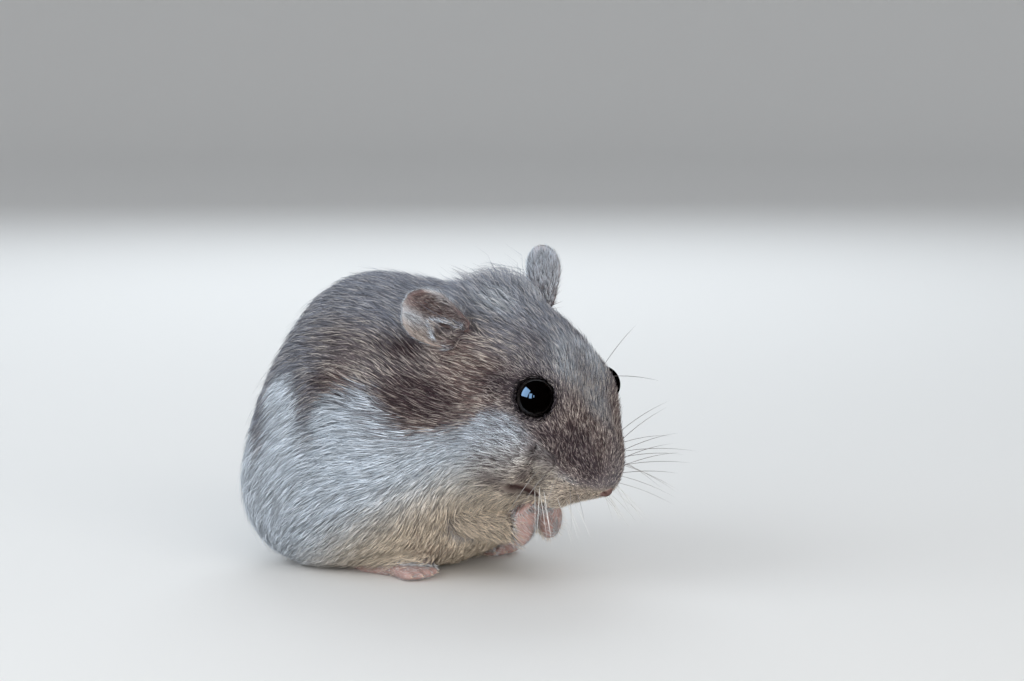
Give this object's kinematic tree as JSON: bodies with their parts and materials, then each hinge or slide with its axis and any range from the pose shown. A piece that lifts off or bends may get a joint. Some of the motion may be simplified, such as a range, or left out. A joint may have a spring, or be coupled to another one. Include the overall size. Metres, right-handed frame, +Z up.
{
  "type": "dwarf hamster",
  "caption": "Life-size dwarf hamster sitting hunched, forepaws up at its mouth, one ear pricked and one laid back.",
  "frame": {"origin": "on the floor, under the middle of the animal's box", "axes": "+X the way the animal faces, +Y its left, +Z up"},
  "size_m": [0.0677, 0.0454, 0.0512],
  "materials": {
    "slate_fur": "dense soft fur, slate grey with brown ticking",
    "grey_fur": "short dense brown-grey fur",
    "pale_fur": "long soft fur, bluish white to cream",
    "pink_skin": "thinly haired pink skin",
    "eye": "wet, near black"
  },
  "bodies": {
    "root": {"trunk": "slate_fur", "neck": "slate_fur", "head": "grey_fur", "lower_jaw": "pale_fur", "nose": "pink_skin", "tail": "pale_fur", "ear_left": "grey_fur", "ear_right": "grey_fur", "eye_left": "eye", "eye_right": "eye", "foreleg_left": "pale_fur", "foreleg_right": "pale_fur", "forepaw_left": "pink_skin", "forepaw_right": "pink_skin", "hind_leg_left": "pale_fur", "hind_leg_right": "pale_fur", "hind_foot_left": "pink_skin", "hind_foot_right": "pink_skin"}
  },
  "joints": []
}
